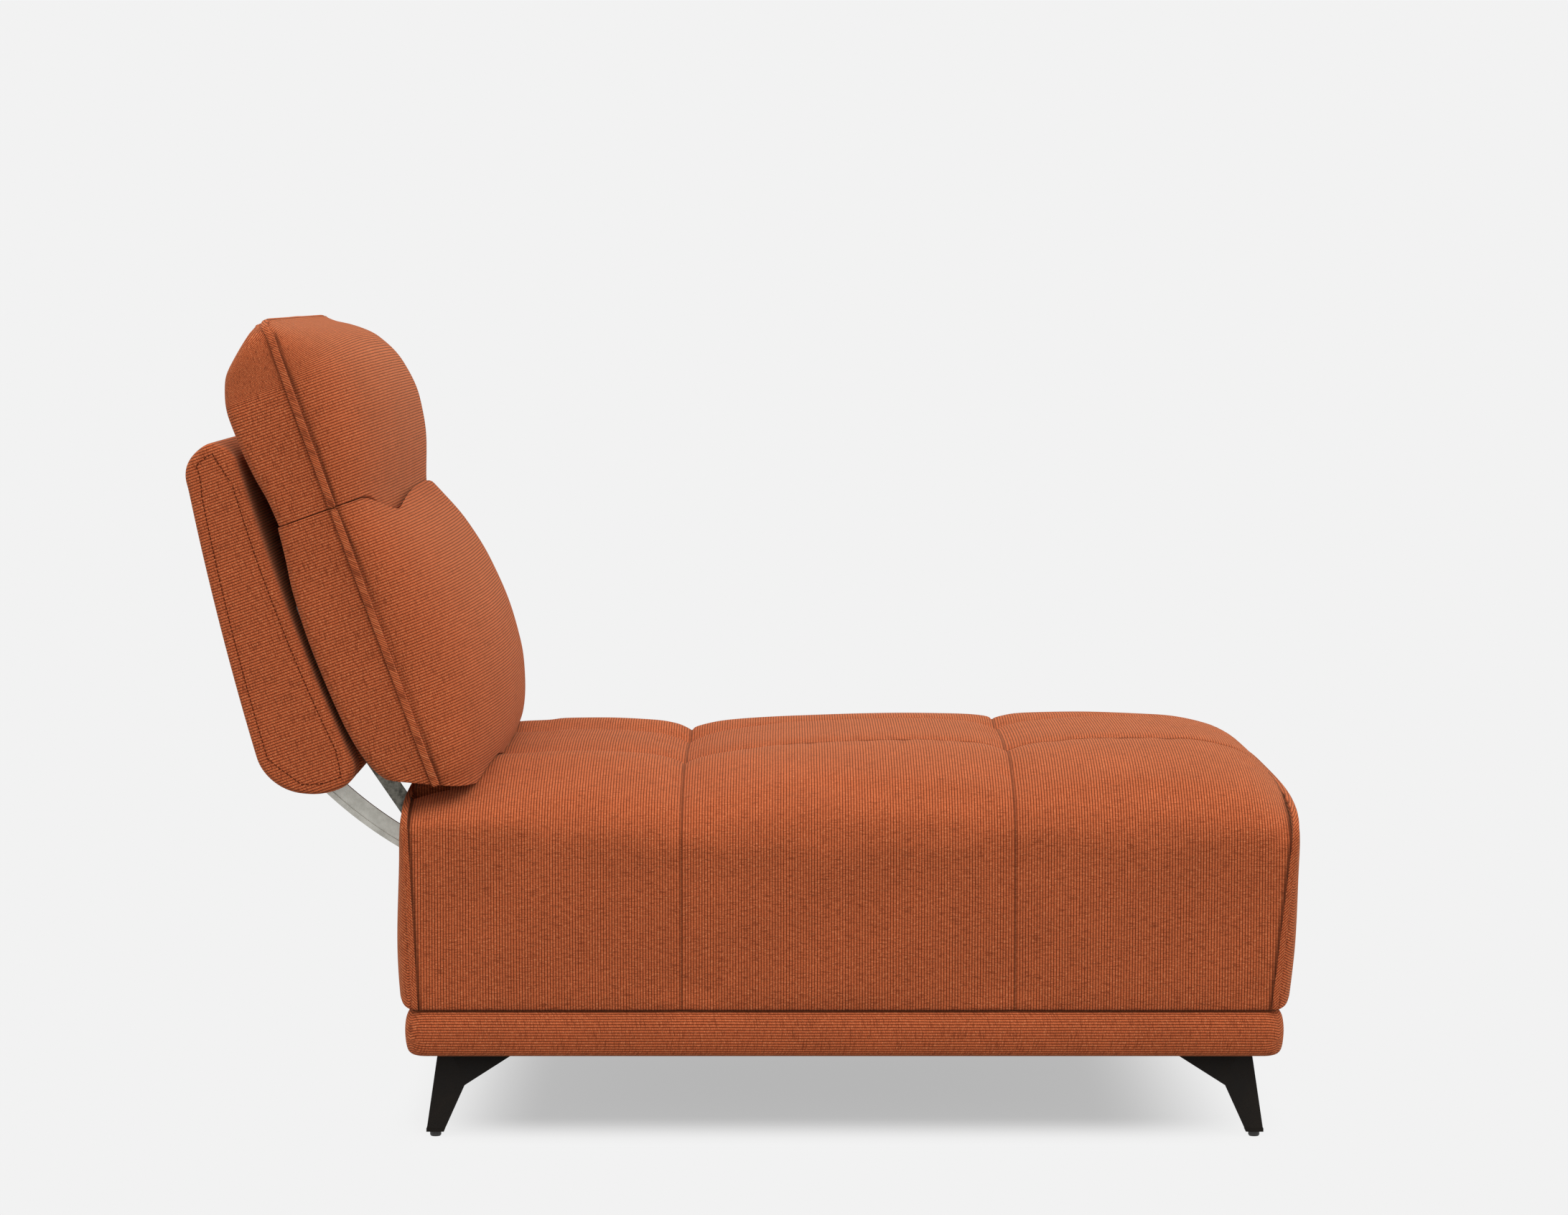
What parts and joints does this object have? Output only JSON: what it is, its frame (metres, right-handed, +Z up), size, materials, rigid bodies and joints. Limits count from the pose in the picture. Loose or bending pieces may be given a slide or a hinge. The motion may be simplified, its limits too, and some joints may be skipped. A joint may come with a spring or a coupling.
{
  "type": "armless recliner",
  "caption": "Armless lounge recliner: long tufted seat on a plinth with folded metal legs, and a back on steel links that shifts forward and upright, with a tilting headrest.",
  "frame": {"origin": "on the floor, under the middle of the object's box", "axes": "+X towards the foot end of the seat, +Y to the sitter's left, +Z up"},
  "size_m": [1.2749, 0.7006, 0.9394],
  "materials": {
    "upholstery_fabric": "ribbed heathered weave, terracotta, over foam and wadding",
    "foam": "upholstery foam",
    "webbing": "elastic webbing",
    "dust_cloth": "black non-woven",
    "frame_wood": "plain board",
    "rubber": "black rubber",
    "black_metal": "satin black, powder coated",
    "glide_plastic": "dark nylon",
    "washer_plastic": "nylon",
    "link_steel": "light zinc plated steel",
    "dark_steel": "dark oiled steel",
    "plain_steel": "mill finish",
    "fastener_steel": "zinc plated"
  },
  "bodies": {
    "base": {"seat_cushion": "upholstery_fabric", "seat_foam": "foam", "side_pad_left": "upholstery_fabric", "side_pad_right": "upholstery_fabric", "front_pad": "foam", "rear_pad": "foam", "front_border": "upholstery_fabric", "rear_border": "upholstery_fabric", "webbing_lengthwise": "webbing", "webbing_crosswise": "webbing", "frame_side_left": "frame_wood", "frame_side_right": "frame_wood", "frame_front": "frame_wood", "frame_rear": "frame_wood", "frame_cross_rail": "frame_wood", "stop_bumpers": "rubber", "base_rails": "frame_wood", "corner_blocks": "frame_wood", "plinth_left": "upholstery_fabric", "plinth_right": "upholstery_fabric", "plinth_front": "upholstery_fabric", "plinth_rear": "upholstery_fabric", "dust_cover": "dust_cloth", "leg_rear_left": "black_metal", "leg_rear_right": "black_metal", "leg_front_left": "black_metal", "leg_front_right": "black_metal", "leg_glides": "glide_plastic", "leg_screws": "fastener_steel", "base_bracket_left": "plain_steel", "base_bracket_right": "plain_steel", "bracket_spacers": "frame_wood", "bracket_bolts": "fastener_steel", "base_pivot_pins": "fastener_steel", "base_pivot_washers": "washer_plastic"},
    "lower_links": {"lower_link_left": "link_steel", "lower_link_right": "link_steel", "tie_tube": "plain_steel"},
    "upper_links": {"upper_link_left": "dark_steel", "upper_link_right": "dark_steel"},
    "back": {"back_bracket_left": "plain_steel", "back_bracket_right": "plain_steel", "back_tubes": "plain_steel", "panel_board": "frame_wood", "panel_screws": "fastener_steel", "back_panel": "upholstery_fabric", "pillow_stile_left": "frame_wood", "pillow_stile_right": "frame_wood", "pillow_rails": "frame_wood", "stile_bolts": "fastener_steel", "back_pivot_pins": "fastener_steel", "back_pivot_washers": "washer_plastic", "lumbar_pillow": "upholstery_fabric", "ratchet_lower_arms": "plain_steel", "ratchet_pins": "fastener_steel"},
    "headrest": {"headrest_cushion": "upholstery_fabric", "headrest_board": "frame_wood", "ratchet_upper_arms": "plain_steel", "headrest_screws": "fastener_steel"}
  },
  "joints": [
    {"name": "back_shift", "type": "hinge", "parent": "base", "child": "lower_links", "pos_m": [-0.3546, 0, 0.3185], "axis": [0, 1, 0], "range_deg": [0, 43.5]},
    {"name": "upper_link_turn", "type": "hinge", "parent": "base", "child": "upper_links", "pos_m": [-0.3267, 0, 0.3627], "axis": [0, 1, 0], "range_deg": [0, 41.1]},
    {"name": "back_lean", "type": "hinge", "parent": "lower_links", "child": "back", "pos_m": [-0.5317, 0, 0.4605], "axis": [0, 1, 0], "range_deg": [-30.7, 0]},
    {"name": "headrest_tilt", "type": "hinge", "parent": "back", "child": "headrest", "pos_m": [-0.43177, 0, 0.74726], "axis": [0, 1, 0], "range_deg": [0, 42]}
  ],
  "couplings": [
    {"joint": "upper_link_turn", "follows": "back_shift", "ratio": 0.943},
    {"joint": "back_lean", "follows": "back_shift", "ratio": -0.704}
  ]
}
